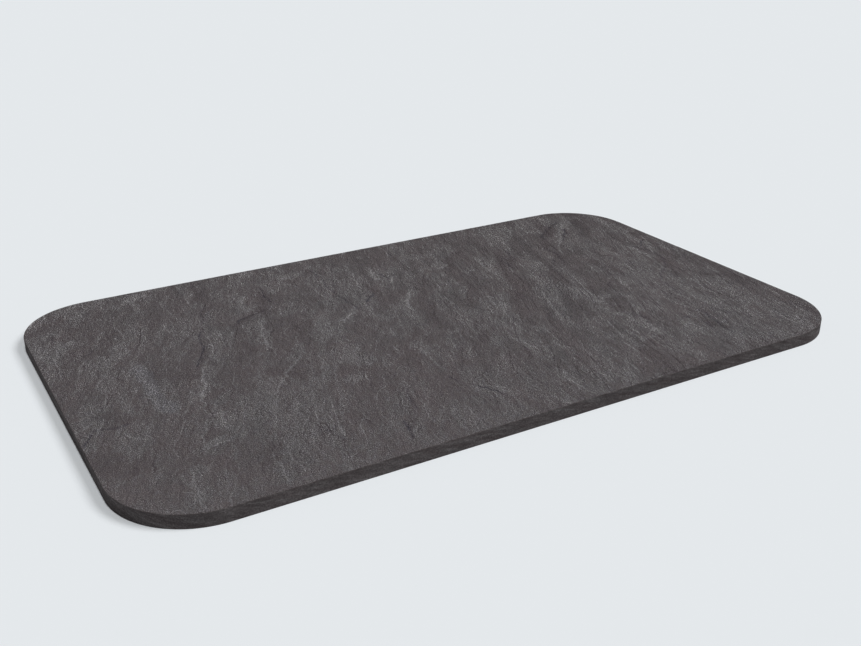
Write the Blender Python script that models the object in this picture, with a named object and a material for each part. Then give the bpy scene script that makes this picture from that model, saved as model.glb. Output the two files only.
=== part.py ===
"""Slate slab: one flat piece of natural slate with sawn, straight sides and rounded corners.

Metres, +Z up. The origin is the middle of the underside, +X runs along the length and
+Y across the width. The slab is one solid piece of stone.
"""

import bpy

# Driving dimensions, in metres
LENGTH = 1.000
WIDTH = 0.600
THICKNESS = 0.0175
CORNER_RADIUS = 0.100
ARRIS_RADIUS = 0.0006  # the slight rounding rubbed onto the sawn edges, top and bottom

# How finely the round stretches are drawn
CORNER_STEPS = 24
ARRIS_STEPS = 2
WELD_DISTANCE = 0.00001

# A cubic curve's handle that draws a quarter circle of radius 1
QUARTER_CIRCLE_HANDLE = 0.5522847

# The slate's look, as linear colour
SLATE_COLOUR = (0.098, 0.091, 0.094, 1.0)
SLATE_ROUGHNESS = 0.75


def clear_scene():
    for thing in list(bpy.data.objects):
        bpy.data.objects.remove(thing)


def new_collection(name):
    collection = bpy.data.collections.new(name)
    bpy.context.scene.collection.children.link(collection)
    return collection


def slate_material():
    material = bpy.data.materials.new("slate")
    material.use_nodes = True
    shader = material.node_tree.nodes["Principled BSDF"]
    shader.inputs["Base Color"].default_value = SLATE_COLOUR
    shader.inputs["Roughness"].default_value = SLATE_ROUGHNESS
    shader.inputs["Metallic"].default_value = 0.0
    return material


def corner_arcs(half_length, half_width, radius):
    """Each corner's arc, anticlockwise, as its start, its end and its two handles."""
    reach = radius * QUARTER_CIRCLE_HANDLE
    arcs = []
    for side_x, side_y in ((1, -1), (1, 1), (-1, 1), (-1, -1)):
        on_long_side = (side_x * (half_length - radius), side_y * half_width)
        on_short_side = (side_x * half_length, side_y * (half_width - radius))
        long_handle = (on_long_side[0] + side_x * reach, on_long_side[1])
        short_handle = (on_short_side[0], on_short_side[1] + side_y * reach)
        if side_x * side_y < 0:
            arcs.append((on_long_side, on_short_side, long_handle, short_handle))
        else:
            arcs.append((on_short_side, on_long_side, short_handle, long_handle))
    return arcs


def rounded_outline(name):
    """A filled outline whose extrusion and bevel give the slab its thickness and its arris."""
    curve = bpy.data.curves.new(name, "CURVE")
    curve.dimensions = "2D"
    curve.fill_mode = "BOTH"
    curve.resolution_u = CORNER_STEPS
    curve.extrude = THICKNESS / 2 - ARRIS_RADIUS
    curve.bevel_depth = ARRIS_RADIUS
    curve.bevel_resolution = ARRIS_STEPS
    curve.offset = -ARRIS_RADIUS
    spline = curve.splines.new("BEZIER")
    spline.bezier_points.add(7)
    spline.use_cyclic_u = True
    arcs = corner_arcs(LENGTH / 2, WIDTH / 2, CORNER_RADIUS)
    for index, (start, end, start_handle, end_handle) in enumerate(arcs):
        first = spline.bezier_points[2 * index]
        first.co = (*start, 0)
        first.handle_left_type = "VECTOR"
        first.handle_right_type = "FREE"
        first.handle_right = (*start_handle, 0)
        second = spline.bezier_points[2 * index + 1]
        second.co = (*end, 0)
        second.handle_left_type = "FREE"
        second.handle_right_type = "VECTOR"
        second.handle_left = (*end_handle, 0)
    return curve


def build_slab(collection):
    slab = bpy.data.objects.new("slate_slab", rounded_outline("slate_slab"))
    collection.objects.link(slab)
    slab.location = (0, 0, THICKNESS / 2)
    slab.data.materials.append(slate_material())
    weld = slab.modifiers.new("close the caps", "WELD")
    weld.merge_threshold = WELD_DISTANCE
    return slab


clear_scene()
build_slab(new_collection("slate slab"))
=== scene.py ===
"""A slab of natural slate: a riven top face, sawn sides with rounded corners and a ground back.

Lengths are metres, except where a name or a comment says millimetres. The riven face is
worked out on a grid of millimetres, in coordinates that run across and along its grain.
Brightness is in levels: one level is one step of grey out of 255.
"""

import math

import bpy
import numpy as np
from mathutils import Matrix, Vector
from mathutils.geometry import delaunay_2d_cdt


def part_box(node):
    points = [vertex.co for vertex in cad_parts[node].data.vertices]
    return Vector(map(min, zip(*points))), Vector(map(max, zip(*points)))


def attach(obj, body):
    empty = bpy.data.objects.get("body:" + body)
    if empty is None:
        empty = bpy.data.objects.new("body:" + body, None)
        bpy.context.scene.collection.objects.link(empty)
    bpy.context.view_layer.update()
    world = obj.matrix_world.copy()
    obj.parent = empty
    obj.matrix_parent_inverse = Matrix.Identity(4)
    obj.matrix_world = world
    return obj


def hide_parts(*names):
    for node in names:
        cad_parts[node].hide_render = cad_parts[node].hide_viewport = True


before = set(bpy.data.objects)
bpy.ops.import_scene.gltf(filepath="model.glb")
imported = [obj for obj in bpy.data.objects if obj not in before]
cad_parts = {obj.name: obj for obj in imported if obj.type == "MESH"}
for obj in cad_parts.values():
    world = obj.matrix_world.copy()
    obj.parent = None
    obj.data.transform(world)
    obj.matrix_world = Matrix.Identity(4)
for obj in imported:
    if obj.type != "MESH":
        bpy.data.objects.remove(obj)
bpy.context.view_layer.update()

# The slab, from the frame, whose origin is the middle of the underside
HALF_LENGTH, HALF_WIDTH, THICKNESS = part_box("slate_slab")[1]
CORNER_RADIUS = 0.100
ARRIS_RADIUS = 0.0006

# How finely the slab is meshed
OUTLINE_STEP = 0.0025
ARRIS_ANGLES = (0, 45, 90)
SIDE_STEPS = 6
CELL_ACROSS = 0.0020  # the top's points, across and along the grain
CELL_ALONG = 0.0039
BACK_CELL = 0.012
RIM_GAP = 0.0011  # no inner point of the top lies nearer to its rim than this
ROW_SPARE = 0.02  # how far past the slab each leaning row of points starts
SHARP_ANGLE = math.radians(20)
TRIANGLES_INSIDE = 1  # the output type that delaunay_2d_cdt is asked for
MERGE_GAP = 1e-5  # in millimetres

# Relief
RELIEF_RANGE = 0.00045  # half of the riven face's full height range
RIM_RELIEF = 0.25  # the share of the relief that is left at the outline
RIM_FADE = 14.0  # millimetres in from the outline over which it builds up
BEDDING_RELIEF = 0.00012
BEDDING_WAVES = 60.0  # the waves round the outline past which the beds' wear fades
BEDDING_HOLD = 0.8
ARRIS_WEAR = 0.3  # the share of the bedding relief that the arrises have
BACK_HOLLOW = 0.0003
HOLLOW_SIZE = 60  # millimetres
HOLLOW_START = 1.2  # hollows lie where the noise passes this many spreads

# The flat map that the materials are baked to
MAP_MARGIN = 0.004
SIDE_STRIPS = 3
STRIP_SPARE = 1.01

# The grain of the riven face, in millimetres
SEED = 11
GRID_MARGIN = 30
SHEET_SIZE = (900, 1400)
GRAIN_RUN = 0.33  # how far the grain leans along +X for each step along +Y
GRAIN_TURN = 0.10  # how much more it leans for each metre towards +Y
GRAIN_CALM = 0.15  # how much less it leans for each metre towards +X
GRAIN_STRETCH = 1.07  # how far it runs for each step along +Y
STRAIGHT_START = -150  # where along X it begins to run straight
STRAIGHT_SPAN = 400  # how far on it is fully straight
# Its wander: size, reach across, reach along and the share that is lost where it is straight
GRAIN_WANDER = ((130, 4.0, 6.0, 0), (40, 1.1, 2.0, 0.75), (11, 0.5, 0.9, 0.9))
# Where along X and along Y a noise sheet is read from, and how far on its next place is
FLAT_PLACES = ((650, 211), (400, 137))
GRAINED_PLACES = ((700, 29), (450, 17))

# Flakes: how many, how long each way from their middle, how wide as a share of that, how
# far they turn off the grain in radians, and their step's width
FLAKES = {
    "large": dict(count=90, long=(35, 80), wide=(0.25, 0.5), turn=0.20, riser=2.6),
    "middle": dict(count=1100, long=(10, 34), wide=(0.15, 0.4), turn=0.22, riser=1.8),
    "small": dict(count=6000, long=(4, 11), wide=(0.15, 0.4), turn=0.30, riser=1.4),
    "large plates": dict(count=170, long=(30, 90), wide=(0.22, 0.45), turn=0.15, riser=1.6, plates=True),
    "middle plates": dict(count=1500, long=(9, 30), wide=(0.2, 0.45), turn=0.22, riser=1.3, plates=True),
    "small plates": dict(count=7000, long=(3.5, 9), wide=(0.25, 0.5), turn=0.30, riser=1.0, plates=True),
}
STEP_TO_LIGHT = 0.55  # the share of flakes whose step faces +X
STRAIGHT_GROWTH = 0.3  # how much longer flakes are where the grain is straight
STRAIGHT_TURN = 0.5  # how much less they turn there
FLAKE_POWERS = (1.5, 0.5)  # of a flake's climb and of its fall to its ends
PLATE_POWERS = (0.6, 0.25)
FLAKE_ROOM = 3

# What each form adds. The forms are at unit spread
HEIGHTS = {"large": 0.12, "middle": 0.08, "small": 0.03, "large plates": 0.05, "middle plates": 0.05}
WEAR = {"large plates": 0.7, "middle plates": 0.8, "small plates": 0.5, "mottle": 0.5}
BREAKS = {"middle plates": 0.45, "small plates": 0.35}
PLAIN_LEVELS = {"mottle": 0.3, "small plates": 1.1}
# Levels of painted light and shade from a form's slope, paler where it falls towards the light at +X:
# their gain, how far strong ones are held back, and the share that is lost where the grain is straight
SLOPE_SHADE_LEVELS = {"large": (1.0, 0.25, 0), "middle": (1.3, 0.2, 0.6), "small": (1.4, 0.25, 0.6)}

# How the maps change over the face. Upward is for each metre along +Y
TONE_TREND = {"start": -2.6, "straight": -3.2, "upward": -3.4, "bluish": 3.0}
WARMTH_TREND = {"start": 0.25, "straight": -0.18, "wavy upward": -0.6, "bluish": -0.4}
VIOLET_TREND = {"start": -0.006, "straight": -0.0065, "upward": -0.02, "bluish": 0.026}
ROUGH_TREND = {"start": 1.08, "straight": 0.08, "upward": 0.70, "corner": -1.6}
CONTRAST = 0.80
ROUGH_DIMMING = 2.6  # how many levels darker the face is where its texture is strong
STAIN_WARMTH = 0.10

# Lines and patches: reaches and fades in millimetres
RAGGED_REACH = (1.3, 1.7)
TORN_REACH = (3.0, 4.0)
LINE_REACH = 30
# Painted light and shade across each line, paler on its -X side and darker on its +X side, and its fade
LINE_SHADE_LEVELS = 2.5
LINE_SHADE_FADE = 7.0
LINE_STEP = 1.4
LINE_STEP_FADE = 9.0
LINE_HEIGHT = 0.12
LINE_TAPER = 6  # each end of a line tapers over one part in this many of its length
NO_LINE = 15.0  # the gap to a line where none is near
# The weight of the lines' painted light and shade in the face's levels
LINE_SHADE_GAIN = 1.7
PATCH_LEVELS = 0.85
PATCH_WEAR = 0.28
PATCH_FADE = 1.15  # in half widths of the patch, as is the reach
PATCH_REACH = 2.6
PATCH_ROOM = 8

# The maps that the material reads: plain ones, and pairs of sharp ones as vectors
POINT_MAPS = ("tone", "warmth", "violet", "straight", "worn", "rough")
SHARP_MAPS = {"grain": ("across", "along"), "line": ("line_gap", "line_mark")}

# Colour
PER_LEVEL = 0.0262  # what a level adds to the logarithm of the slate's brightness
WARM_SLATE = (0.0970, 0.0830, 0.0860, 1.0)
COOL_SLATE = (0.0868, 0.0830, 0.0858, 1.0)
# The sides' colours: the slate's colours darkened with painted shade for the sides, and a little less blue
SAWN_WARM_SHADED = (0.0908, 0.0762, 0.0771, 1.0)
SAWN_COOL_SHADED = (0.0817, 0.0762, 0.0767, 1.0)
SHEEN = 0.02
HELD_LEVELS = 32.0  # the texture's levels are softly held within this many
HAIR_WIDTH = 1.5  # millimetres, of the hair that draws a line
BED_SLANT = (0.20, -0.14)  # how far the beds climb for each metre along +X and +Y
MIX_COOL, MIX_WARM, MIX_RESULT = 6, 7, 2  # the colour sockets of a mix node

# Camera
VIEW_ANGLE = math.radians(35)  # from the frame's top to its bottom
FRAME_SHAPE = 861 / 646
CAMERA_AIM = Vector((0.0101, 0.0172, 0.0))
CAMERA_AZIMUTH = math.radians(-30.40)
CAMERA_ELEVATION = math.radians(23.80)
CAMERA_DISTANCE = 1.4434

# Light
KEY_DIRECTION = (0.58, -0.27, 0.766)
KEY_STRENGTH = 1.60
KEY_SPREAD = math.radians(28)
FILL_AZIMUTH = math.radians(0)
FILL_ELEVATION = math.radians(85)
FILL_STRENGTH = 1.55
FILL_SPREAD = math.radians(10)
SKY_STRENGTH = 0.096
FLOOR_COLOUR = (0.795, 0.8265, 0.851, 1.0)
BACKDROP_COLOUR = (0.776, 0.807, 0.831, 1.0)  # the lit floor's own look
FLOOR_REACH = 60.0

# Clefts and lit steps of the riven face, read off the photo, in millimetres from the middle. The clefts
# are steps that face away from the light at +X, drawn dark with painted shade; the lit steps face it
# and are drawn pale with painted highlight
SHADED_CLEFTS = [
    ((-278, 122), (-292, 112), (-300, 90), (-302, 67), (-315, 40), (-335, 2)),
    ((-182, 143), (-198, 137), (-216, 131), (-235, 125), (-242, 110)),
    ((-162, 222), (-170, 182), (-171, 160)),
    ((-25, 125), (-30, 110), (-45, 100), (-55, 90)),
    ((212, 127), (210, 115), (207, 102)),
    ((410, 252), (375, 232), (345, 210), (334, 200), (331, 175)),
    ((396, 215), (375, 190), (347, 160)),
    ((445, 75), (475, 105)),
    ((342, -160), (341, -182), (327, -225), (325, -250)),
    ((-62, -200), (-50, -215), (-40, -240)),
    ((-172, -232), (-182, -275)),
    ((-70, 252), (-69, 240), (-66, 224)),
    ((20, 188), (19, 160)),
    ((-73, 120), (-75, 104)),
    ((-71, -168), (-70, -184)),
    ((-497, -115), (-490, -97), (-482, -87)),
]
LIT_STEPS = [
    ((-310, 30), (-325, 2), (-337, -42), (-352, -75), (-359, -112)),
    ((-200, -17), (-217, -37), (-234, -49), (-254, -82), (-282, -110)),
    ((-199, 114), (-217, 85), (-230, 25)),
    ((-320, 285), (-345, 259)),
    ((-387, -192), (-382, -185), (-372, -177), (-357, -176)),
    ((-500, -84), (-485, -70), (-477, -65)),
    ((17, 215), (7, 192), (2, 172), (5, 160)),
    ((30, 102), (0, 70), (-10, 40)),
    ((-82, 72), (-105, 55), (-112, 42)),
    ((412, 247), (382, 210), (350, 167), (322, 135), (305, 97)),
    ((425, 100), (433, 62), (432, 40), (422, 15), (402, -2)),
    ((57, -222), (51, -240), (54, -297)),
    ((147, -235), (137, -282)),
    ((110, 158), (120, 165), (131, 166)),
    ((67, -117), (66, -140), (67, -160)),
    ((-64, -65), (-62, -87), (-66, -150)),
    ((207, -200), (199, -212)),
    ((450, -242), (430, -272)),
]
FAINT_SHADED_CLEFTS = [
    ((-250, 205), (-265, 180), (-274, 155), (-278, 125)),
    ((-66, 224), (-75, 180), (-75, 130), (-71, 80), (-70, 62)),
    ((121, 158), (117, 138)),
    ((245, 175), (237, 150)),
    ((352, 267), (347, 250)),
    ((307, 160), (302, 100), (290, 75)),
    ((424, 107), (443, 70), (446, 40), (436, 8),
     (412, -18), (390, -30), (370, -57), (361, -100), (361, -125)),
    ((300, -17), (287, -37)),
    ((340, -40), (335, -70)),
    ((307, -160), (307, -185)),
    ((251, -135), (257, -160)),
    ((475, -110), (467, -130)),
    ((-125, -165), (-140, -182), (-146, -220)),
    ((-485, -82), (-465, -88), (-430, -90)),
    ((-466, 205), (-470, 180)),
    ((-430, 130), (-450, 105)),
]
FAINT_LIT_STEPS = [
    ((-345, -102), (-343, -115), (-352, -145)),
    ((-362, -118), (-375, -145), (-386, -178)),
    ((-408, -200), (-420, -240), (-423, -297)),
    ((-197, 207), (-205, 187), (-212, 165)),
    ((-306, 217), (-305, 170)),
    ((-452, -105), (-442, -122), (-427, -140)),
    ((-132, 60), (-135, 30), (-147, 7)),
    ((-392, 130), (-378, 134), (-367, 142)),
    ((-270, 97), (-282, 78)),
    ((-176, 52), (-187, 32), (-192, 20)),
    ((110, -250), (100, -270)),
    ((-105, -235), (-118, -252)),
    ((85, 152), (72, 132)),
    ((162, 242), (155, 227)),
    ((192, 165), (177, 152), (172, 125), (171, 82)),
    ((405, 282), (392, 255)),
    ((120, -5), (97, -40), (85, -107)),
    ((-55, -200), (-40, -215), (-25, -232)),
    ((237, -120), (240, -140), (235, -190)),
    ((440, -115), (432, -140)),
]
# Each kind of line and its strength, below zero where it is drawn dark with painted shade and above
# zero where it is drawn pale with painted highlight
LINE_KINDS = ((SHADED_CLEFTS, -1), (LIT_STEPS, 0.8), (FAINT_SHADED_CLEFTS, -0.6), (FAINT_LIT_STEPS, 0.6))
# The one bluish patch: the line along its middle, half its width and how wide its edge is
BLUISH_PATCH = ((-390, 50), (-396, 8), (-398, -30), (-390, -74))
BLUISH_HALF_WIDTH = 10.0
BLUISH_EDGE = 3
# Pale and dark patches: both ends of each, its half width in millimetres and its levels
PATCHES = [
    (-485, 135, -455, 165, 12, 9), (-482, 248, -470, 270, 12, 5), (-325, 285, -345, 262, 6, 7),
    (-303, 232, -299, 242, 5, 5), (-435, 288, -440, 270, 8, 4), (-213, 150, -200, 205, 5, 6),
    (-166, 292, -163, 276, 6, 8), (-120, 245, -90, 255, 7, 8), (-152, 195, -148, 230, 7, 4),
    (4, 165, 15, 213, 6, 9), (-400, 10, -388, 50, 6, 8), (-400, -5, -395, -75, 8, 5),
    (-360, -75, -317, 0, 8, 6), (-227, 15, -210, 100, 6, 5), (-150, 15, -130, 70, 8, 8),
    (-110, 55, -85, 72, 7, 6), (-150, -75, -140, -20, 10, 7), (-173, -111, -165, -109, 8, 7),
    (-382, -181, -357, -175, 5, 10), (-420, -270, -405, -220, 5, 5), (-352, -140, -345, -120, 10, 5),
    (-270, -160, -262, -140, 6, 5), (-17, 5, -12, 45, 8, 5), (-22, 48, 27, 101, 6, 7),
    (72, 148, 92, 166, 6, 5), (108, 166, 126, 160, 6, 5), (170, 110, 186, 166, 6, 5),
    (225, 68, 255, 106, 9, 7), (230, -10, 236, -62, 8, 5), (256, -62, 268, -60, 7, 7),
    (237, -120, 240, -188, 7, 8), (213, -201, 238, -192, 6, 8), (275, 225, 305, 275, 16, 4),
    (316, 228, 334, 240, 6, 7), (368, 198, 405, 241, 6, 9), (318, 118, 346, 165, 6, 4),
    (390, 252, 400, 276, 5, 5), (427, 28, 431, 72, 5, 6), (480, 48, 496, 82, 8, 5),
    (312, -42, 322, -34, 9, 6), (424, -292, 436, -260, 6, 10), (458, -252, 464, -246, 7, 4),
    (-60, -60, -46, -122, 10, 4), (-52, -212, -30, -236, 6, 6), (50, -228, 62, -292, 8, 4),
    (116, -2, 110, -52, 6, 5), (186, 15, 180, -32, 6, 5), (116, 220, 124, 221, 8, 5),
    (-442, 70, -402, 96, 8, 5), (-250, 218, -240, 290, 9, -7), (-378, 12, -340, -4, 13, -7),
    (-242, 115, -202, 135, 6, -6), (-190, 135, -172, 185, 8, -6), (-257, 14, -250, 46, 8, -8),
    (-182, 30, -162, 62, 7, -5), (-70, 240, -67, 256, 6, -7), (0, -42, 4, 30, 6, -6),
    (130, 158, 166, 202, 7, -6), (135, -6, 152, 14, 7, -8), (208, 116, 216, 140, 7, -9),
    (312, 152, 332, 190, 6, -8), (334, 198, 392, 241, 5, -8), (402, 172, 440, 240, 8, -7),
    (448, 270, 466, 286, 8, -7), (440, 60, 478, 130, 7, -6), (456, -76, 480, -100, 9, -6),
    (480, -100, 464, -126, 7, -6), (-470, -56, -442, -74, 10, -6), (-490, -160, -462, -178, 16, -6),
    (-332, -232, -320, -212, 7, -7), (-252, -46, -242, -62, 9, -5), (22, -102, 35, -74, 6, -7),
    (255, -166, 258, -138, 5, -6), (322, -208, 336, -238, 5, -6), (488, -238, 497, -232, 8, -6),
    (290, -250, 460, -150, 80, 1.6), (-340, -265, -280, -230, 60, -0.5), (-60, -230, 120, -210, 70, 0.8),
    (-455, 240, -440, 260, 50, -1.2), (-70, 200, -60, 150, 60, -0.8), (60, -50, 190, -50, 50, -1.0),
    (-410, -260, -210, -250, 40, 0.8), (440, 150, 450, 60, 50, 1.0), (300, 50, 320, 50, 50, -0.9),
    (180, -250, 200, -250, 50, 0.9), (180, 250, 200, 250, 50, -0.8), (-340, -135, -280, -135, 45, 1.8),
    (290, -150, 340, -150, 45, 1.2), (-210, 50, -160, 50, 45, -1.7), (40, 250, 90, 250, 45, -1.0),
    (30, 60, 90, 60, 45, -1.2), (300, 60, 340, 60, 45, -1.2),
]


def noise_sheet(rng, across, along):
    """A sheet of soft random values, a millimetre a cell, that repeats at its edges."""
    rows, columns = SHEET_SIZE
    white = rng.standard_normal(SHEET_SIZE)
    wave_along = np.fft.fftfreq(rows)[:, None] * along
    wave_across = np.fft.rfftfreq(columns)[None, :] * across
    kept = np.exp(-0.5 * math.pi ** 2 * (wave_across ** 2 + wave_along ** 2))
    return unit(np.fft.irfft2(np.fft.rfft2(white) * kept, s=SHEET_SIZE))


def layered_sheet(rng, across, along, layers, fade):
    """Noise sheets laid over each other, each half the size of the last and fade as strong."""
    total = np.zeros(SHEET_SIZE)
    for layer in range(layers):
        total += fade ** layer * noise_sheet(rng, across / 2 ** layer, along / 2 ** layer)
    return unit(total)


def unit(values):
    return (values - values.mean()) / values.std()


def softened(values, hold):
    """The values at unit spread, with the far ones held back."""
    return np.tanh(unit(values) * hold) / hold


def read_at(sheet, row, column):
    """Reads a sheet between its cells, repeating it past its edges."""
    rows, columns = sheet.shape
    low_row = np.floor(row).astype(int)
    low_column = np.floor(column).astype(int)
    down = row - low_row
    over = column - low_column
    row_a, row_b = low_row % rows, (low_row + 1) % rows
    column_a, column_b = low_column % columns, (low_column + 1) % columns
    near = sheet[row_a, column_a] * (1 - over) + sheet[row_a, column_b] * over
    far = sheet[row_b, column_a] * (1 - over) + sheet[row_b, column_b] * over
    return near * (1 - down) + far * down


def weighed(layers, gains):
    """The sum of the layers that have a gain, each times its gain."""
    return sum(gain * layers[name] for name, gain in gains.items())


def straightness(x):
    """How straight the grain runs, from 0 to 1, at places in millimetres."""
    return np.clip((x - STRAIGHT_START) / STRAIGHT_SPAN, 0, 1)


class RivenFace:
    """The riven face on a grid of millimetres, with coordinates that follow its grain."""

    def __init__(self):
        self.rng = np.random.default_rng(SEED)
        half_x = int(HALF_LENGTH * 1000) + GRID_MARGIN
        half_y = int(HALF_WIDTH * 1000) + GRID_MARGIN
        self.columns = np.arange(-half_x, half_x) + 0.5
        self.rows = np.arange(-half_y, half_y) + 0.5
        self.x, self.y = np.meshgrid(self.columns, self.rows)
        lean = self.y * (GRAIN_RUN + GRAIN_TURN * self.y / 2000 - GRAIN_CALM * self.x / 1000)
        self.across = self.x - lean
        self.along = self.y * GRAIN_STRETCH
        self.straight = straightness(self.x)
        for size, sideways, lengthways, lost in GRAIN_WANDER:
            sheet = layered_sheet(self.rng, size, size, layers=2, fade=0.5)
            calm = 1 - lost * self.straight
            self.across = self.across + sideways * calm * self.flat(sheet, 0)
            self.along = self.along + lengthways * calm * self.flat(sheet, 1)

    def flat(self, sheet, place=0):
        """A sheet laid straight on the face. Each place takes it from another part."""
        start_x, start_y = (start + place * stride for start, stride in FLAT_PLACES)
        return read_at(sheet, self.y + start_y, self.x + start_x)

    def grained(self, sheet, place=0):
        """A sheet laid along the grain."""
        start_x, start_y = (start + place * stride for start, stride in GRAINED_PLACES)
        return read_at(sheet, self.along + start_y, self.across + start_x)

    def flakes(self, count, long, wide, turn, riser, plates=False):
        """Lens-shaped flakes that climb gently and end in a step.

        Plates climb at once and are raised or sunk at random. Other flakes are all
        raised, and wide ones stand higher.
        """
        rng = self.rng
        height = np.zeros_like(self.x)
        climb_power, end_power = PLATE_POWERS if plates else FLAKE_POWERS
        for _ in range(count):
            column = rng.integers(len(self.columns))
            row = rng.integers(len(self.rows))
            straight = straightness(self.columns[column])
            growth = 1 + STRAIGHT_GROWTH * straight
            half_length = long[0] * (long[1] / long[0]) ** rng.random() * growth
            half_width = half_length * rng.uniform(*wide)
            angle = rng.normal(0, turn * (1 - STRAIGHT_TURN * straight))
            facing = 1 if rng.random() < STEP_TO_LIGHT else -1
            rise = rng.normal() if plates else rng.uniform(0.5, 1.0) * half_width ** 0.5
            # The window has room for the flake's turn and for the grain's lean and wander
            reach_y = int(half_length * 1.15) + FLAKE_ROOM
            reach_x = int(half_length * 0.75 + half_width) + FLAKE_ROOM
            window = (slice(max(row - reach_y, 0), row + reach_y),
                      slice(max(column - reach_x, 0), column + reach_x))
            over = self.across[window] - self.across[row, column]
            ahead = self.along[window] - self.along[row, column]
            side = (over * math.cos(angle) + ahead * math.sin(angle)) * facing / half_width
            end = (ahead * math.cos(angle) - over * math.sin(angle)) / half_length
            lens = np.clip(1 - end * end, 0, None)
            edge = lens ** 0.75
            climb = np.clip((side + edge) / (edge + 1e-6) * 0.5, 0, 1) ** climb_power
            step = np.clip((edge - side) * half_width / riser + 0.5, 0, 1)
            step = step * step * (3 - 2 * step)
            height[window] += rise * climb * step * lens ** end_power
        return height


def to_line(x, y, points):
    """The gap to a line of points, that gap signed + towards +X, and the share of the way along."""
    gap = np.full(x.shape, np.inf)
    signed = np.zeros_like(x)
    share = np.zeros_like(x)
    lengths = [math.dist(a, b) for a, b in zip(points, points[1:])]
    passed = 0.0
    for (ax, ay), (bx, by), length in zip(points, points[1:], lengths):
        run_x, run_y = (bx - ax) / length, (by - ay) / length
        ahead = np.clip((x - ax) * run_x + (y - ay) * run_y, 0, length)
        here = np.hypot(x - ax - ahead * run_x, y - ay - ahead * run_y)
        turned = 1 if run_y > 0 or (run_y == 0 and run_x < 0) else -1
        beside = ((x - ax) * run_y - (y - ay) * run_x) * turned
        nearer = here < gap
        gap[nearer] = here[nearer]
        signed[nearer] = np.where(beside < 0, -here, here)[nearer]
        share[nearer] = (passed + ahead[nearer]) / sum(lengths)
        passed += length
    return gap, signed, share


def window_round(face, points, reach):
    """The part of the grid within reach of the points."""
    xs = [point[0] for point in points]
    ys = [point[1] for point in points]
    first_x, first_y = face.columns[0], face.rows[0]
    return (slice(max(int(min(ys) - reach - first_y), 0), int(max(ys) + reach - first_y) + 1),
            slice(max(int(min(xs) - reach - first_x), 0), int(max(xs) + reach - first_x) + 1))


def ragged_offsets(face, reaches, size, layers, fade):
    """Random offsets along X and Y that make an edge ragged."""
    return [reach * face.flat(layered_sheet(face.rng, size, size, layers, fade)) for reach in reaches]


def patched(face, torn):
    """The levels that the pale and dark patches add, before the flakes break them up."""
    levels = np.zeros_like(face.x)
    for x0, y0, x1, y1, half_width, strength in PATCHES:
        points = ((x0, y0), (x1, y1))
        window = window_round(face, points, PATCH_REACH * half_width + PATCH_ROOM)
        x = face.x[window] + torn[0][window]
        y = face.y[window] + torn[1][window]
        gap = to_line(x, y, points)[0]
        levels[window] += strength * np.exp(-(gap / (PATCH_FADE * half_width)) ** 3)
    return levels


def marked(face, ragged):
    """What the clefts and lit steps add: levels, relief, and the nearest line and its strength.

    The levels are painted light and shade, paler on each line's -X side and darker on its +X side.
    """
    levels = np.zeros_like(face.x)
    relief = np.zeros_like(face.x)
    line_gap = np.full_like(face.x, NO_LINE)
    line_mark = np.zeros_like(face.x)
    for lines, strength in LINE_KINDS:
        for points in lines:
            window = window_round(face, points, LINE_REACH)
            x = face.x[window] + ragged[0][window]
            y = face.y[window] + ragged[1][window]
            gap, signed, share = to_line(x, y, points)
            tip = np.minimum(share, 1 - share)
            taper = np.clip(tip * LINE_TAPER, 0, 1) ** 0.5
            # Painted light and shade: paler on the line's side towards -X, darker on its side towards +X
            shade = LINE_SHADE_LEVELS * abs(strength) * np.sign(signed)
            levels[window] -= shade * np.exp(-gap / LINE_SHADE_FADE) * taper
            relief[window] -= strength * np.tanh(signed / LINE_STEP) * np.exp(-gap / LINE_STEP_FADE) * taper
            nearer = gap < np.abs(line_gap[window])
            line_gap[window] = np.where(nearer, signed, line_gap[window])
            line_mark[window] = np.where(nearer, strength * taper, line_mark[window])
    return levels, relief, line_gap, line_mark


def blurred(values):
    """The values with each cell shared out to its neighbours, so that coarser points can read them."""
    for axis in (0, 1):
        values = 0.5 * values + 0.25 * (np.roll(values, 1, axis) + np.roll(values, -1, axis))
    return values


def slope_to_light(height):
    """How far the face falls towards +X, where the light comes from."""
    return -np.gradient(height, axis=1)


def riven_levels(face, forms, line_shade, patches):
    """The riven face's levels about zero, from its slopes, its plates, its lines and its patches.

    The slopes and the lines give painted light and shade.
    """
    broken = np.clip(1 + weighed(forms, BREAKS), 0, 2)
    levels = weighed(forms, PLAIN_LEVELS) + LINE_SHADE_GAIN * line_shade + PATCH_LEVELS * patches * broken
    # Painted light and shade: paler where the face falls towards the light at +X, darker where it climbs
    for name, (gain, hold, lost) in SLOPE_SHADE_LEVELS.items():
        levels = levels + gain * softened(slope_to_light(forms[name]), hold) * (1 - lost * face.straight)
    return levels - levels.mean()


def trends_over(face, torn):
    """What the maps change with over the face."""
    upward = face.y / 1000
    bluish_gap = to_line(face.x + torn[0], face.y + torn[1], BLUISH_PATCH)[0]
    return {
        "start": 1.0,
        "straight": face.straight,
        "upward": upward,
        "wavy upward": upward * (1 - face.straight),
        "corner": upward * face.x / 1000,
        "bluish": np.clip((BLUISH_HALF_WIDTH - bluish_gap) / BLUISH_EDGE + 0.5, 0, 1),
    }


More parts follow.
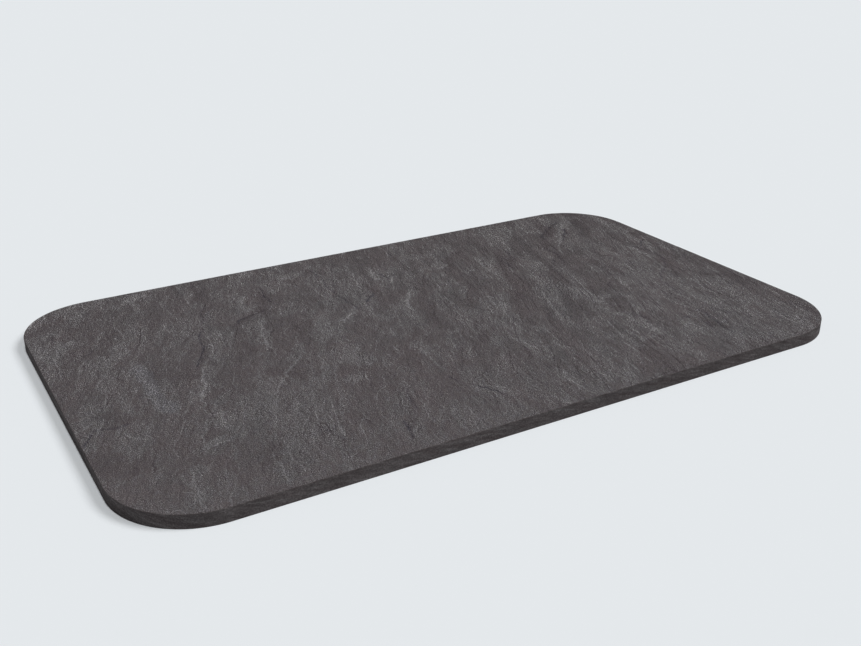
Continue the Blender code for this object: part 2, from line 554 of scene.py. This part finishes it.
def riven_maps():
    """The riven face's maps on its grid, such as height in millimetres, levels and grain."""
    face = RivenFace()
    ragged = ragged_offsets(face, RAGGED_REACH, size=9, layers=3, fade=0.7)
    forms = {name: unit(face.flakes(**kind)) for name, kind in FLAKES.items()}
    forms["mottle"] = unit(face.grained(layered_sheet(face.rng, 30, 60, layers=4, fade=0.9), 5))
    stain = face.grained(layered_sheet(face.rng, 24, 40, layers=3, fade=0.8), 6)
    line_shade, mark_relief, line_gap, line_mark = marked(face, ragged)
    torn = ragged_offsets(face, TORN_REACH, size=24, layers=4, fade=0.75)
    patches = patched(face, torn)
    levels = riven_levels(face, forms, line_shade, patches)
    trends = trends_over(face, torn)
    rough = weighed(trends, ROUGH_TREND)
    return {
        "height": weighed(forms, HEIGHTS) + LINE_HEIGHT * mark_relief,
        # The tone holds painted light and shade from the slopes and the lines, besides the slate's own tone
        "tone": CONTRAST * levels - ROUGH_DIMMING * (rough ** 2 - 1) + weighed(trends, TONE_TREND),
        "warmth": STAIN_WARMTH * stain + weighed(trends, WARMTH_TREND),
        "violet": weighed(trends, VIOLET_TREND),
        "straight": face.straight,
        "rough": rough,
        "worn": unit(weighed(forms, WEAR)) - PATCH_WEAR * patches,
        "across": face.across,
        "along": face.along,
        "line_gap": line_gap,
        "line_mark": line_mark,
    }


def read_map(values, x, y):
    """Reads a map at places given in metres."""
    rows, columns = values.shape
    return read_at(values, y * 1000 + rows / 2 - 0.5, x * 1000 + columns / 2 - 0.5)


def inset_distance(x, y):
    """How far a place lies inside the slab's outline."""
    past_x = np.abs(x) - (HALF_LENGTH - CORNER_RADIUS)
    past_y = np.abs(y) - (HALF_WIDTH - CORNER_RADIUS)
    outside = np.hypot(np.maximum(past_x, 0), np.maximum(past_y, 0))
    inside = np.minimum(np.maximum(past_x, past_y), 0)
    return CORNER_RADIUS - outside - inside


def outline():
    """The outline anticlockwise: places, outward directions and the distance run along it."""
    places = []
    normals = []
    arc_steps = round(CORNER_RADIUS * math.pi / 2 / OUTLINE_STEP)
    for side_x, side_y, first in ((1, -1, -90), (1, 1, 0), (-1, 1, 90), (-1, -1, 180)):
        centre = np.array((side_x * (HALF_LENGTH - CORNER_RADIUS), side_y * (HALF_WIDTH - CORNER_RADIUS)))
        for step in range(arc_steps + 1):
            angle = math.radians(first + 90 * step / arc_steps)
            normal = np.array((math.cos(angle), math.sin(angle)))
            places.append(centre + CORNER_RADIUS * normal)
            normals.append(normal)
        length = 2 * ((HALF_WIDTH if side_x * side_y < 0 else HALF_LENGTH) - CORNER_RADIUS)
        straight_steps = round(length / OUTLINE_STEP)
        ahead = np.array((-normals[-1][1], normals[-1][0]))
        for step in range(1, straight_steps):
            places.append(places[-1] + ahead * length / straight_steps)
            normals.append(normals[-1])
    places = np.array(places)
    gaps = np.linalg.norm(np.roll(places, -1, axis=0) - places, axis=1)
    return places, np.array(normals), np.concatenate(([0.0], np.cumsum(gaps)))


def grain_points():
    """Places inside the outline, set out in rows that lean with the grain."""
    places = []
    rows = int(2 * HALF_WIDTH / CELL_ALONG)
    reach = HALF_LENGTH + GRAIN_RUN * HALF_WIDTH + ROW_SPARE
    steps = int(2 * reach / CELL_ACROSS)
    for row in range(1, rows):
        y = -HALF_WIDTH + row * CELL_ALONG
        x = -reach + (np.arange(steps) + 0.5 * (row % 2)) * CELL_ACROSS + GRAIN_RUN * y
        kept = inset_distance(x, np.full_like(x, y)) > ARRIS_RADIUS + RIM_GAP
        places.append(np.stack((x[kept], np.full(kept.sum(), y)), axis=1))
    return np.concatenate(places)


def back_points():
    """Places inside the outline for the underside, on a plain grid."""
    x, y = np.meshgrid(np.arange(-HALF_LENGTH, HALF_LENGTH, BACK_CELL),
                       np.arange(-HALF_WIDTH, HALF_WIDTH, BACK_CELL))
    kept = inset_distance(x, y) > ARRIS_RADIUS + BACK_CELL / 4
    return np.stack((x[kept], y[kept]), axis=1)


def filled(rim, inner):
    """Triangles over a ring of places and the places inside it, anticlockwise from above."""
    points = [Vector(place) for place in np.concatenate((rim, inner)) * 1000]
    edges = [(index, (index + 1) % len(rim)) for index in range(len(rim))]
    made = delaunay_2d_cdt(points, edges, [], TRIANGLES_INSIDE, MERGE_GAP, True)
    source = [found[0] for found in made[3]]
    triangles = np.array([[source[corner] for corner in face] for face in made[2]])
    a, b, c = (np.array([points[corner] for corner in triangles[:, k]]) for k in range(3))
    area = (b[:, 0] - a[:, 0]) * (c[:, 1] - a[:, 1]) - (b[:, 1] - a[:, 1]) * (c[:, 0] - a[:, 0])
    triangles[area < 0] = triangles[area < 0][:, ::-1]
    return triangles


def top_height(maps, x, y):
    """The riven face's height, softly held within its range and calmer near the outline."""
    inset = inset_distance(x, y) * 1000
    share = RIM_RELIEF + (1 - RIM_RELIEF) * np.clip(inset / RIM_FADE, 0, 1)
    limit = RELIEF_RANGE * 1000
    relief = limit * np.tanh(read_map(maps["height"], x, y) * share / limit)
    return THICKNESS + (relief - limit) / 1000


def bedding_relief(rng, count, rings):
    """How far the sawn side is worn back between its beds, as a share, ring by ring."""
    waves = np.fft.rfft(rng.standard_normal((rings, count)), axis=1)
    kept = np.exp(-np.arange(waves.shape[1]) / BEDDING_WAVES)
    worn = np.fft.irfft(waves * kept, n=count, axis=1)
    return 0.5 + 0.5 * np.tanh(unit(worn) * BEDDING_HOLD)


def write_attribute(mesh, name, values, kind="FLOAT"):
    attribute = mesh.attributes.new(name, kind, "POINT")
    key = "vector" if kind == "FLOAT_VECTOR" else "value"
    attribute.data.foreach_set(key, np.ascontiguousarray(values, dtype=np.float32).ravel())


def slab_rings(maps):
    """Rings of points round the slab, from the top's rim down to the back's, and the run along them."""
    places, normals, run = outline()
    count = len(places)
    rim_inner = places - normals * ARRIS_RADIUS
    rim_z = top_height(maps, rim_inner[:, 0], rim_inner[:, 1])
    turns = [math.radians(angle) for angle in ARRIS_ANGLES]
    arris = [(ARRIS_RADIUS * (1 - math.sin(turn)), ARRIS_RADIUS * (1 - math.cos(turn))) for turn in turns]
    rings = [(inset, rim_z - drop) for inset, drop in arris]
    upper = rings[-1][1]
    for step in range(1, SIDE_STEPS):
        rings.append((0.0, upper + (ARRIS_RADIUS - upper) * step / SIDE_STEPS))
    rings += [(inset, np.full(count, rise)) for inset, rise in reversed(arris)]
    wear = bedding_relief(np.random.default_rng(SEED + 1), count, len(rings)) * BEDDING_RELIEF
    wear[:len(arris)] *= ARRIS_WEAR
    wear[-len(arris):] *= ARRIS_WEAR
    wear[[0, -1]] = 0.0
    return [np.column_stack((places - normals * (inset + worn)[:, None], height))
            for (inset, height), worn in zip(rings, wear)], run


def back_height(x, y):
    """The ground back's height, with shallow hollows."""
    hollows = layered_sheet(np.random.default_rng(SEED + 2), HOLLOW_SIZE, HOLLOW_SIZE, layers=3, fade=0.6)
    return BACK_HOLLOW * np.clip(read_at(hollows, y * 1000, x * 1000) - HOLLOW_START, 0, 1)


def slab_faces(rings, top_inner, back_inner):
    """The faces of the top, the sides and the back, by the numbers of their points."""
    count = len(rings[0])
    last_ring = (len(rings) - 1) * count
    first_top = len(rings) * count
    first_back = first_top + len(top_inner)
    top = filled(rings[0][:, :2], top_inner)
    top = np.where(top < count, top, top - count + first_top)
    back = filled(rings[-1][:, :2], back_inner)[:, ::-1]
    back = np.where(back < count, back + last_ring, back - count + first_back)
    column = np.arange(count)
    following = (column + 1) % count
    strip = np.stack((column, column + count, following + count, following), axis=1)
    sides = np.concatenate([strip + ring * count for ring in range(len(rings) - 1)])
    return top, sides, back


def write_maps(mesh, maps, x, y):
    """Hands the maps to the material, point by point."""
    for name in POINT_MAPS:
        write_attribute(mesh, name, read_map(maps[name], x, y))
    for name, (first, second) in SHARP_MAPS.items():
        pair = (read_map(maps[first], x, y), read_map(maps[second], x, y), np.zeros_like(x))
        write_attribute(mesh, name, np.column_stack(pair), "FLOAT_VECTOR")


def build_slab():
    maps = riven_maps()
    for name in ("height", *POINT_MAPS):
        maps[name] = blurred(maps[name])
    rings, run = slab_rings(maps)
    top_inner = grain_points()
    back_inner = back_points()
    above = np.column_stack((top_inner, top_height(maps, *top_inner.T)))
    under = np.column_stack((back_inner, back_height(*back_inner.T)))
    points = np.concatenate((*rings, above, under))
    top, sides, back = slab_faces(rings, top_inner, back_inner)

    mesh = bpy.data.meshes.new("riven_slab")
    mesh.from_pydata(points.tolist(), [], top.tolist() + sides.tolist() + back.tolist())
    slots = np.repeat((0, 1, 2), (len(top), len(sides), len(back))).astype(np.int32)
    mesh.polygons.foreach_set("material_index", slots)
    mesh.polygons.foreach_set("use_smooth", np.ones(len(slots), bool))
    mesh.set_sharp_from_angle(angle=SHARP_ANGLE)
    write_maps(mesh, maps, points[:, 0], points[:, 1])
    lay_out_map(mesh, points, top, sides, back, run)

    for material in (riven_material(), sawn_material(), back_material()):
        mesh.materials.append(material)
    return new_object("riven_slab", mesh)


def new_object(name, data):
    """A new object in the scene."""
    thing = bpy.data.objects.new(name, data)
    bpy.context.scene.collection.objects.link(thing)
    return thing


def laid_flat(corners, scale, base):
    """Corners on the flat map as seen from above, from base upwards."""
    return np.column_stack(((corners[:, 0] + HALF_LENGTH) * scale + MAP_MARGIN,
                            (corners[:, 1] + HALF_WIDTH) * scale + base))


def lay_out_map(mesh, points, top, sides, back, run):
    """A flat map with the riven face across most of it, the back below and the sides in strips."""
    layer = mesh.uv_layers.new(name="OFBake")
    margin = MAP_MARGIN
    top_scale = (1 - 2 * margin) / (2 * HALF_LENGTH)
    top_map = laid_flat(points[top.ravel()], top_scale, margin)
    base = margin * 3 + 2 * HALF_WIDTH * top_scale
    count = len(run) - 1
    rows = len(sides) // count
    ring = np.repeat(np.arange(rows), count)
    column = np.tile(np.arange(count), rows)
    strip_of = np.arange(count) * SIDE_STRIPS // count
    starts = run[np.searchsorted(strip_of, np.arange(SIDE_STRIPS))]
    strip = strip_of[column]
    side_scale = (1 - 4 * margin) / (run[-1] / SIDE_STRIPS * STRIP_SPARE)
    depth = (THICKNESS + 2 * ARRIS_RADIUS) * side_scale
    ring_down = np.linspace(0, depth, rows + 1)
    left = (run[column] - starts[strip]) * side_scale + margin
    right = (run[column + 1] - starts[strip]) * side_scale + margin
    above = base + strip * (depth + 2 * margin) + ring_down[ring]
    below = base + strip * (depth + 2 * margin) + ring_down[ring + 1]
    side_map = np.stack((left, above, left, below, right, below, right, above), axis=1).reshape(-1, 2)
    base += SIDE_STRIPS * (depth + 2 * margin)
    back_scale = (1 - base - 2 * margin) / (2 * HALF_WIDTH)
    back_map = laid_flat(points[back.ravel()], back_scale, base)
    layer.data.foreach_set("uv", np.concatenate((top_map, side_map, back_map)).astype(np.float32).ravel())


class Nodes:
    """A new material and short ways to add nodes to it."""

    def __init__(self, name, sheen=SHEEN):
        self.material = bpy.data.materials.new(name)
        self.material.use_nodes = True
        self.tree = self.material.node_tree
        self.shader = self.tree.nodes["Principled BSDF"]
        self.shader.inputs["Specular IOR Level"].default_value = sheen

    def join(self, value, socket):
        if isinstance(value, bpy.types.NodeSocket):
            self.tree.links.new(value, socket)
        else:
            socket.default_value = value

    def add(self, kind, *values):
        """A new node, with values for its first inputs."""
        node = self.tree.nodes.new("ShaderNode" + kind)
        for value, socket in zip(values, node.inputs):
            self.join(value, socket)
        return node

    def maths(self, operation, first, second=0.0, kind="Math"):
        node = self.add(kind, first, second)
        node.operation = operation
        return node.outputs[0]

    def vectors(self, operation, first, second):
        return self.maths(operation, first, second, "VectorMath")

    def total(self, *terms, start=None):
        """The sum of start and of terms, each a value and what it is multiplied by."""
        result = start
        for value, gain in terms:
            term = self.maths("MULTIPLY", value, gain)
            result = term if result is None else self.maths("ADD", result, term)
        return result

    def product(self, first, *others):
        for other in others:
            first = self.maths("MULTIPLY", first, other)
        return first

    def limited(self, value):
        """The value, kept between 0 and 1."""
        return self.add("Clamp", value).outputs[0]

    def attribute(self, name, output="Fac"):
        node = self.add("Attribute")
        node.attribute_name = name
        return node.outputs[output]

    def place(self):
        """The place on the slab, in metres."""
        return self.add("TexCoord").outputs["Object"]

    def parts(self, vector):
        return self.add("SeparateXYZ", vector).outputs

    def combined(self, x, y, z):
        return self.add("CombineXYZ", x, y, z).outputs[0]

    def sized(self, vector, sizes, shift=(0.0, 0.0, 0.0)):
        """A coordinate in units of the given sizes."""
        node = self.add("Mapping", vector)
        node.inputs["Scale"].default_value = [1 / size for size in sizes]
        node.inputs["Location"].default_value = shift
        return node.outputs[0]

    def noise(self, vector, sizes, shift=(0.0, 0.0, 0.0), detail=1.0, roughness=0.5):
        """Soft noise about zero, from -0.5 to 0.5, in blots of the given sizes."""
        node = self.add("TexNoise", self.sized(vector, sizes, shift))
        node.inputs["Scale"].default_value = 1.0
        node.inputs["Detail"].default_value = detail
        node.inputs["Roughness"].default_value = roughness
        return self.maths("SUBTRACT", node.outputs["Fac"], 0.5)

    def coloured(self, levels, warmth, warm=WARM_SLATE, cool=COOL_SLATE, violet=0.0):
        """Sets the colour: cool to warm slate, levels brighter or darker, bluer by the share in violet."""
        mix = self.add("Mix")
        mix.data_type = "RGBA"
        mix.clamp_factor = True
        self.join(warmth, mix.inputs["Factor"])
        self.join(cool, mix.inputs[MIX_COOL])
        self.join(warm, mix.inputs[MIX_WARM])
        brightness = self.maths("EXPONENT", self.product(levels, PER_LEVEL))
        blue = self.product(brightness, self.maths("ADD", violet, 1.0))
        tint = self.combined(brightness, brightness, blue)
        self.join(self.vectors("MULTIPLY", mix.outputs[MIX_RESULT], tint), self.shader.inputs["Base Color"])

    def rough(self, value):
        self.join(value, self.shader.inputs["Roughness"])

    def bumped(self, height):
        """Bends the light by a height in metres."""
        node = self.add("Bump")
        node.inputs["Strength"].default_value = 1.0
        node.inputs["Distance"].default_value = 1.0
        self.join(height, node.inputs["Height"])
        self.join(node.outputs[0], self.shader.inputs["Normal"])


class RivenNodes(Nodes):
    """Patterns that follow the grain. Sizes and reaches are millimetres across and along it."""

    def __init__(self, name):
        super().__init__(name)
        self.grain = self.attribute("grain", "Vector")
        self.straight = self.attribute("straight")
        self.calm = self.by_half(1.0, 0.4)
        self.frayed = self.warped(self.grain, (4.0, 7.0), reach=(1.6, 2.4), gain=self.calm)
        self.grit = self.grained((1.0, 1.1))
        self.fine = self.grained((2.3, 2.9), shift=(40, 7), detail=3.0, roughness=0.85)
        self.fibre = self.grained((1.7, 18.0), shift=(11, 90), detail=3.0, roughness=0.6, vector=self.frayed)

    def by_half(self, wavy, straight):
        """A value that goes from one number on the wavy left half to another on the straight right."""
        return self.total((self.straight, straight - wavy), start=wavy)

    def grained(self, sizes, shift=(0, 0), detail=1.0, roughness=0.5, vector=None):
        """Soft noise along the grain, or along another coordinate of its kind."""
        return self.noise(vector or self.grain, (*sizes, 1), (*shift, 0), detail, roughness)

    def warped(self, vector, sizes, reach, gain=(1.0, 1.0, 1.0)):
        """A coordinate pushed about by soft noise, as far as reach allows."""
        node = self.add("TexNoise", self.sized(vector, (*sizes, 1)))
        node.noise_dimensions = "2D"
        node.inputs["Scale"].default_value = 1.0
        node.inputs["Detail"].default_value = 1.0
        push = self.vectors("SUBTRACT", node.outputs["Color"], (0.5, 0.5, 0.5))
        push = self.vectors("MULTIPLY", push, (*reach, 0))
        return self.vectors("ADD", vector, self.vectors("MULTIPLY", push, gain))

    def plate_height(self, vector, sizes):
        """A random value about zero for each angular cell."""
        node = self.add("TexVoronoi", self.sized(vector, (*sizes, 1)))
        node.voronoi_dimensions = "2D"
        node.inputs["Scale"].default_value = 1.0
        return self.maths("SUBTRACT", self.parts(node.outputs["Color"])[0], 0.5)

    def plates(self, vector, sizes, edge):
        """Angular plates at random heights, and how far the face drops across each edge towards +X."""
        here = self.plate_height(vector, sizes)
        beside = self.plate_height(self.vectors("ADD", vector, (edge, 0.0, 0.0)), sizes)
        return here, self.maths("SUBTRACT", here, beside)

    def emphasised(self, value):
        """The value times its own size, so that strong ones stand out, and bright ones more than dark."""
        size = self.maths("ABSOLUTE", value)
        return self.product(value, self.total((value, 0.1), start=size))

    def flakes(self):
        """The levels and the bump of ragged plates of four sizes.

        The levels hold painted light and shade at the plates' edges, paler where the face drops towards +X.
        """
        ragged = self.warped(self.grain, (14, 22), reach=(9.0, 9.0), gain=self.calm)
        ragged = self.warped(ragged, (3.2, 4.5), reach=(1.6, 2.2), gain=self.calm)
        small, small_edge = self.plates(ragged, (3.0, 6.0), edge=0.9)
        middle, middle_edge = self.plates(ragged, (7.0, 24.0), edge=1.2)
        torn_edge = self.plates(ragged, (11.0, 36.0), edge=1.1)[1]
        large_edge = self.plates(ragged, (17.0, 60.0), edge=1.6)[1]
        # Painted light and shade at the plate edges, paler where the face drops towards the light at +X
        edges = self.total((self.emphasised(large_edge), 28.0), (self.emphasised(torn_edge), 27.0),
                           (small_edge, 15.0), (middle_edge, 13.0))
        levels = self.total((small, 6.0), (middle, 2.0), (edges, self.by_half(1.0, 0.7)))
        return levels, self.total((small, 0.00008), (middle, 0.00012))

    def strokes(self):
        """The levels of the long strokes, which only the straight half has.

        Their edges carry painted light and shade, paler where the face drops towards +X.
        """
        bent = self.warped(self.frayed, (30, 90), reach=(4.0, 0))
        long, long_edge = self.plates(self.frayed, (3.4, 36.0), edge=1.0)
        longer, longer_edge = self.plates(bent, (9.0, 110.0), edge=1.1)
        # Painted light and shade at the strokes' edges
        strokes = self.total((long, 3.0), (long_edge, 6.0), (longer, 8.0), (longer_edge, 13.0))
        return self.product(strokes, self.straight)

    def lines(self):
        """The hairs along the clefts, below zero, and along the lit steps, above zero, with breaks.

        They are painted shade and painted highlight on the lines' steps.
        """
        line_gap, line_mark, _ = self.parts(self.attribute("line", "Vector"))
        near = self.maths("DIVIDE", self.total((self.fine, 3.2), start=line_gap), HAIR_WIDTH)
        hair = self.maths("EXPONENT", self.product(near, near, -1.0))
        whole = self.limited(self.total((self.grained((9, 9), detail=2.0), 2.5), start=0.85))
        return self.product(hair, whole, line_mark)

    def cracks(self):
        """Thin cracks along the edges of long plates, open here and there, from 0 to 1."""
        bent = self.warped(self.frayed, (9, 20), reach=(3.0, 0))
        edge = self.maths("ABSOLUTE", self.plates(bent, (15.0, 120.0), edge=1.7)[1])
        crack = self.limited(self.total((edge, 4.0), start=-0.4))
        opening = self.grained((20, 60), shift=(3, 50), detail=2.0)
        opening = self.limited(self.total((opening, 8.0), start=0.25))
        return self.product(crack, opening, self.by_half(0.1, 1.0))


def riven_material():
    """The split face: flakes and fibres along the grain, dark clefts and pale lit steps.

    The clefts, the lit steps and the flakes' edges carry painted light and shade.
    """
    nodes = RivenNodes("riven slate")
    flakes, flake_bump = nodes.flakes()
    lines = nodes.lines()
    cracks = nodes.cracks()
    specks = nodes.grained((2.8, 4.6), shift=(13, 17))
    smooth = nodes.limited(nodes.total((nodes.attribute("worn"), 1.2), (nodes.fine, 2.4), start=0.5))
    texture = nodes.total((nodes.fine, nodes.by_half(78.0, 84.0)), (specks, nodes.by_half(17.0, 41.0)),
                          (nodes.fibre, nodes.by_half(7.0, 10.0)), (nodes.strokes(), 1.0), start=flakes)
    busy = nodes.total((smooth, -0.3), (nodes.grained((30, 50), detail=2.0), 0.5), start=1.15)
    busy = nodes.product(busy, nodes.attribute("rough"))
    # Painted light and shade: the plate edges in flakes and in the strokes, and the hairs in lines
    levels = nodes.total((nodes.attribute("tone"), 1.0), (smooth, -4.4), (texture, busy),
                         (lines, 30.0), (cracks, -26.0), start=2.4)
    held = nodes.product(nodes.maths("TANH", nodes.maths("DIVIDE", levels, HELD_LEVELS)), HELD_LEVELS)
    gritty = nodes.total((nodes.product(nodes.grit, busy), nodes.by_half(208.0, 248.0)), start=held)
    tint = nodes.grained((4.0, 7.0), shift=(60, 30), detail=3.0, roughness=0.7)
    warmth = nodes.total((held, -0.032), (smooth, 0.22), (tint, 1.1), (nodes.product(lines, lines), -1.0),
                         start=nodes.attribute("warmth"))
    bluer = nodes.grained((6.0, 10.0), shift=(20, 80), detail=4.0, roughness=0.75)
    violet = nodes.total((bluer, 0.20), (nodes.maths("MINIMUM", lines, 0.0), -0.07), (cracks, 0.04),
                         (nodes.maths("MINIMUM", held, 0.0), -0.0016), start=nodes.attribute("violet"))
    nodes.coloured(gritty, warmth, violet=violet)
    nodes.rough(nodes.total((nodes.fine, 0.15), start=0.80))
    nodes.bumped(nodes.total((nodes.grit, 0.0002), (nodes.fine, 0.0005), (nodes.fibre, 0.0003),
                             (lines, 0.0001), start=flake_bump))
    return nodes.material


def sawn_material():
    """The sawn sides: long blots and streaks of the beds, which the saw met at a slight slant.

    Their colours are darkened with painted shade.
    """
    nodes = Nodes("sawn slate")
    x, y, z = nodes.parts(nodes.place())
    beds = nodes.combined(x, y, nodes.total((x, BED_SLANT[0]), (y, BED_SLANT[1]), start=z))
    blots = nodes.noise(beds, (0.034, 0.034, 0.0048), detail=4.0, roughness=0.6)
    streaks = nodes.noise(beds, (0.012, 0.012, 0.0016), shift=(5, 5, 5), detail=3.0, roughness=0.6)
    grit = nodes.noise(beds, (0.0016, 0.0016, 0.0012), shift=(9, 9, 9), detail=2.0)
    stain = nodes.noise(beds, (0.050, 0.050, 0.020), shift=(2, 2, 2), detail=2.0)
    levels = nodes.total((blots, 66.0), (streaks, 30.0), (grit, 64.0), (stain, 10.0))
    nodes.coloured(levels, nodes.total((stain, 0.6), (blots, -2.0), start=0.5), SAWN_WARM_SHADED, SAWN_COOL_SHADED)
    nodes.rough(nodes.total((streaks, 0.15), start=0.82))
    nodes.bumped(nodes.total((blots, 0.00012), (streaks, 0.00006), (grit, 0.00003)))
    return nodes.material


def back_material():
    """The ground back: even, with fine grinding lines and a cloudy colour."""
    nodes = Nodes("ground slate")
    place = nodes.place()
    lines = nodes.noise(place, (0.0012, 0.300, 0.05), detail=2.0, roughness=0.6)
    cloud = nodes.noise(place, (0.060, 0.090, 0.05), shift=(4, 4, 4), detail=4.0, roughness=0.6)
    grit = nodes.noise(place, (0.0014, 0.0014, 0.05), shift=(8, 8, 8), detail=2.0)
    levels = nodes.total((lines, 14.0), (cloud, 30.0), (grit, 14.0))
    nodes.coloured(levels, nodes.maths("ADD", cloud, 0.45))
    nodes.rough(nodes.total((lines, 0.2), start=0.74))
    nodes.bumped(nodes.total((lines, 0.00004), (grit, 0.00003)))
    return nodes.material


def floor_material():
    nodes = Nodes("pale floor", sheen=0.0)
    nodes.join(FLOOR_COLOUR, nodes.shader.inputs["Base Color"])
    nodes.rough(1.0)
    return nodes.material


def build_floor():
    """A flat floor that reaches far enough for low views to see no edge."""
    corners = [(x * FLOOR_REACH, y * FLOOR_REACH, 0.0) for x, y in ((-1, -1), (1, -1), (1, 1), (-1, 1))]
    mesh = bpy.data.meshes.new("studio_floor")
    mesh.from_pydata(corners, [], [(0, 1, 2, 3)])
    mesh.materials.append(floor_material())
    return new_object("studio_floor", mesh)


def add_sun(name, direction, strength, spread):
    lamp = bpy.data.lights.new(name, "SUN")
    lamp.energy = strength
    lamp.angle = spread
    new_object(name, lamp).rotation_euler = Vector(direction).to_track_quat("Z", "Y").to_euler()


def direction_from(azimuth, elevation):
    """The direction to a viewer at an azimuth from -Y towards +X and an elevation."""
    level = math.cos(elevation)
    return Vector((math.sin(azimuth) * level, -math.cos(azimuth) * level, math.sin(elevation)))


def build_lights():
    add_sun("key", KEY_DIRECTION, KEY_STRENGTH, KEY_SPREAD)
    add_sun("fill", direction_from(FILL_AZIMUTH, FILL_ELEVATION), FILL_STRENGTH, FILL_SPREAD)
    build_sky()
    bpy.context.scene.view_settings.view_transform = "Standard"


def build_sky():
    """A dim white sky as light, seen as pale as the floor past the floor's far edge."""
    world = bpy.data.worlds.new("studio")
    world.use_nodes = True
    tree = world.node_tree
    light = tree.nodes["Background"]
    light.inputs["Color"].default_value = (1.0, 1.0, 1.0, 1.0)
    light.inputs["Strength"].default_value = SKY_STRENGTH
    backdrop = tree.nodes.new("ShaderNodeBackground")
    backdrop.inputs["Color"].default_value = BACKDROP_COLOUR
    mix = tree.nodes.new("ShaderNodeMixShader")
    path = tree.nodes.new("ShaderNodeLightPath")
    tree.links.new(path.outputs["Is Camera Ray"], mix.inputs[0])
    tree.links.new(light.outputs[0], mix.inputs[1])
    tree.links.new(backdrop.outputs[0], mix.inputs[2])
    tree.links.new(mix.outputs[0], tree.nodes["World Output"].inputs["Surface"])
    bpy.context.scene.world = world


def build_camera():
    data = bpy.data.cameras.new("camera")
    data.angle = 2 * math.atan(math.tan(VIEW_ANGLE / 2) * FRAME_SHAPE)
    camera = new_object("camera", data)
    back = direction_from(CAMERA_AZIMUTH, CAMERA_ELEVATION)
    camera.location = CAMERA_AIM + CAMERA_DISTANCE * back
    camera.rotation_euler = back.to_track_quat("Z", "Y").to_euler()
    bpy.context.scene.camera = camera


build_camera()
build_lights()
build_floor()
slab = build_slab()
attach(slab, "root")
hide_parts("slate_slab")
